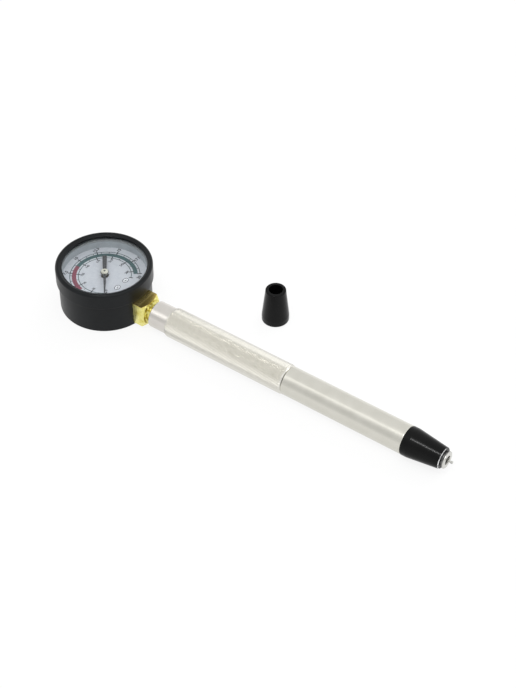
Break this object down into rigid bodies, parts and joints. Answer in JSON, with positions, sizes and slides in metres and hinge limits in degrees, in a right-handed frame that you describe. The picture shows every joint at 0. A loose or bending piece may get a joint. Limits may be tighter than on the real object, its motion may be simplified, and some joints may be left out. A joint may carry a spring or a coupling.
{
  "type": "compression tester",
  "caption": "Push-in compression tester: dial gauge on a brass square, knurled metal handle, smooth barrel, black rubber cone on a valved nozzle, and a spare rubber cone beside it.",
  "frame": {"origin": "centre of the gauge's flat back, which the tester rests on", "axes": "+X from the gauge along the handle and the barrel to the cone, +Z out of the dial"},
  "size_m": [0.243, 0.0748, 0.0267],
  "materials": {
    "case_black": "gloss",
    "lens_clear": "clear, polished",
    "soft_black": "matt",
    "gasket_grey": "matt",
    "ring_pale": "matt",
    "dial_face": "satin print",
    "pointer_black": "satin",
    "hub_cream": "satin",
    "movement_brass": "turned and cut",
    "hairspring_bronze": "rolled strip",
    "tube_bronze": "drawn",
    "screw_steel": "zinc plated",
    "arbor_steel": "hardened, dark",
    "socket_brass": "machined, bright",
    "fibre_red": "fibre",
    "handle_nickel": "satin nickel",
    "barrel_nickel": "satin nickel",
    "cone_black": "smooth, soft gloss",
    "core_brass": "turned",
    "core_red": "matt",
    "pin_steel": "plated",
    "spring_steel": "drawn"
  },
  "bodies": {
    "tester": {"gauge_case": "case_black", "bezel_ring": "case_black", "lens": "lens_clear", "lens_gasket": "gasket_grey", "spacer_ring": "ring_pale", "dial_plate": "dial_face", "hairspring": "hairspring_bronze", "hairspring_stud": "movement_brass", "movement_back_plate": "movement_brass", "movement_front_plate": "movement_brass", "movement_pillars": "movement_brass", "pillar_screws": "movement_brass", "movement_screws": "screw_steel", "bourdon_tube": "tube_bronze", "tube_tip": "movement_brass", "gauge_socket": "socket_brass", "case_screws": "screw_steel", "socket_seal": "fibre_red", "handle": "handle_nickel", "barrel_seal": "fibre_red", "barrel": "barrel_nickel", "nozzle_seal": "fibre_red", "nozzle": "barrel_nickel", "fitted_cone": "cone_black", "valve_core_body": "core_brass", "valve_core_gasket": "core_red", "valve_spring": "spring_steel"},
    "sector": {"sector_gear": "movement_brass", "sector_arbor": "movement_brass"},
    "link": {"link": "movement_brass", "link_pins": "screw_steel"},
    "pointer": {"pointer": "pointer_black", "pointer_hub": "hub_cream", "pinion_arbor": "arbor_steel", "hairspring_collet": "movement_brass"},
    "valve_pin": {"valve_pin": "pin_steel", "valve_seal": "soft_black"},
    "spare_cone": {"spare_cone": "cone_black"}
  },
  "joints": [
    {"name": "sector_turn", "type": "hinge", "parent": "tester", "child": "sector", "pos_m": [0.01128, -0.0041, 0.0101], "axis": [0, 0, 1], "range_deg": [0, 40.71], "stiffness_Nm_per_rad": 0.0002},
    {"name": "pointer_turn", "type": "hinge", "parent": "tester", "child": "pointer", "pos_m": [0, 0, 0.0101], "axis": [0, 0, 1], "range_deg": [-285, 0], "deforming": ["hairspring"]},
    {"name": "link_turn", "type": "hinge", "parent": "sector", "child": "link", "pos_m": [0.01451, -0.0053, 0.0109], "axis": [0, 0, 1], "range_deg": [-40.72, 0]},
    {"name": "valve_pin_press", "type": "slide", "parent": "tester", "child": "valve_pin", "axis": [-1, 0, 0], "range_m": [0, 0.0012], "stiffness_N_per_m": 400, "springref_m": -0.002, "deforming": ["valve_spring"]},
    {"name": "spare_cone_lift", "type": "slide", "parent": "tester", "child": "spare_cone", "axis": [0, 0, 1], "range_m": [0, 0.06]}
  ],
  "couplings": [
    {"joint": "pointer_turn", "follows": "sector_turn", "ratio": -7},
    {"joint": "link_turn", "follows": "sector_turn", "ratio": -1}
  ]
}
